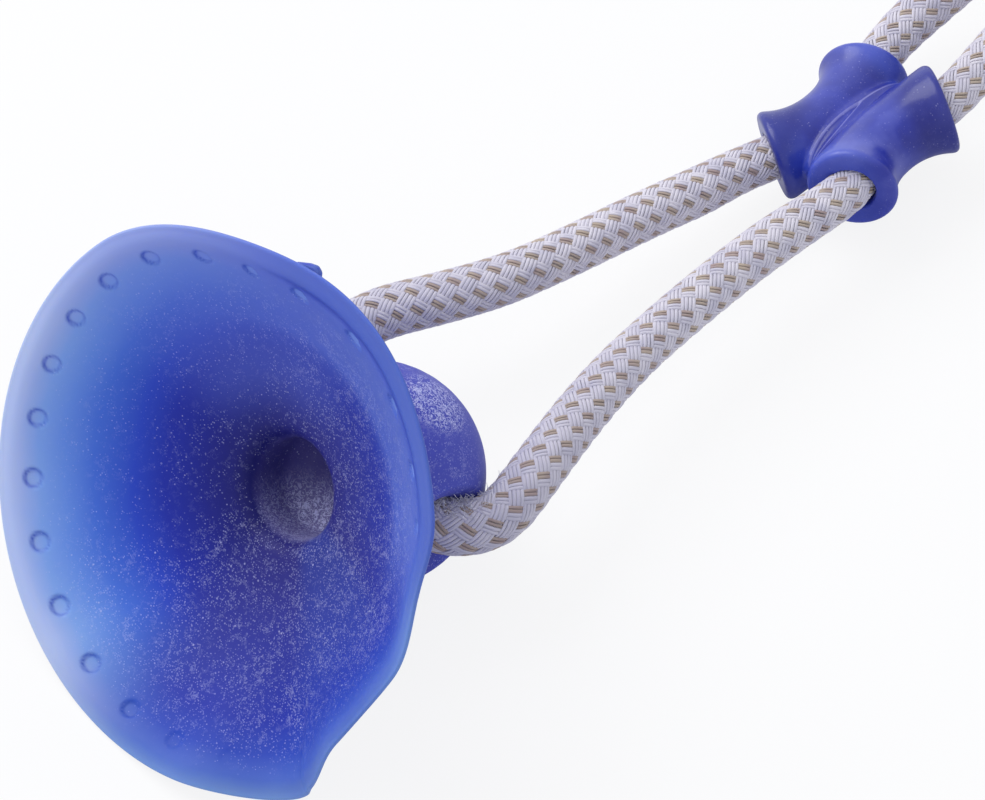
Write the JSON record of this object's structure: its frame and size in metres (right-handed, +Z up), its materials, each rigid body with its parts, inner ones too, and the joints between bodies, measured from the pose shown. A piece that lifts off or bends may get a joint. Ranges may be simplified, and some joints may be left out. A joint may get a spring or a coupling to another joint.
{
  "type": "suction cup tug toy for dogs",
  "caption": "Soft suction cup with a round knob, a braided rope looped through the knob and gathered by a slider, and a knotted-on chew ball for a dog to tug.",
  "frame": {"origin": "on the table, under the middle of the box round the cup, slider and ball as the toy lies", "axes": "+X runs along the toy from the cup's mouth to the ball, +Z is up"},
  "size_m": [0.3992, 0.0979, 0.0871],
  "materials": {
    "cup_rubber": "soft translucent blue rubber, dusted with white powder near the middle",
    "slider_rubber": "smooth satin dark blue rubber",
    "ball_rubber": "satin blue rubber",
    "rope_yarn": "white braided yarn with tan flecks"
  },
  "bodies": {
    "cup": {"suction_cup": "cup_rubber"},
    "rope": {"rope_loop": "rope_yarn", "rope_tail_left": "rope_yarn", "rope_tail_right": "rope_yarn", "rope_knot_left": "rope_yarn", "rope_knot_right": "rope_yarn"},
    "slider": {"rope_slider": "slider_rubber"},
    "ball": {"chew_ball": "ball_rubber"}
  },
  "joints": [
    {"name": "rope_swing", "type": "hinge", "parent": "cup", "child": "rope", "pos_m": [-0.11329, -0.00374, 0.02], "axis": [0.0628, 0.998, 0], "range_deg": [-55, 120]},
    {"name": "slider_slide", "type": "slide", "parent": "rope", "child": "slider", "axis": [0.9979, 0.0645, 0], "range_m": [-0.015, 0.015], "deforming": ["rope_loop", "rope_tail_left", "rope_tail_right"]},
    {"name": "ball_slide", "type": "slide", "parent": "rope", "child": "ball", "axis": [0.9945, 0, 0.1045], "range_m": [-0.015, 0.004], "deforming": ["rope_tail_left", "rope_tail_right"]}
  ]
}
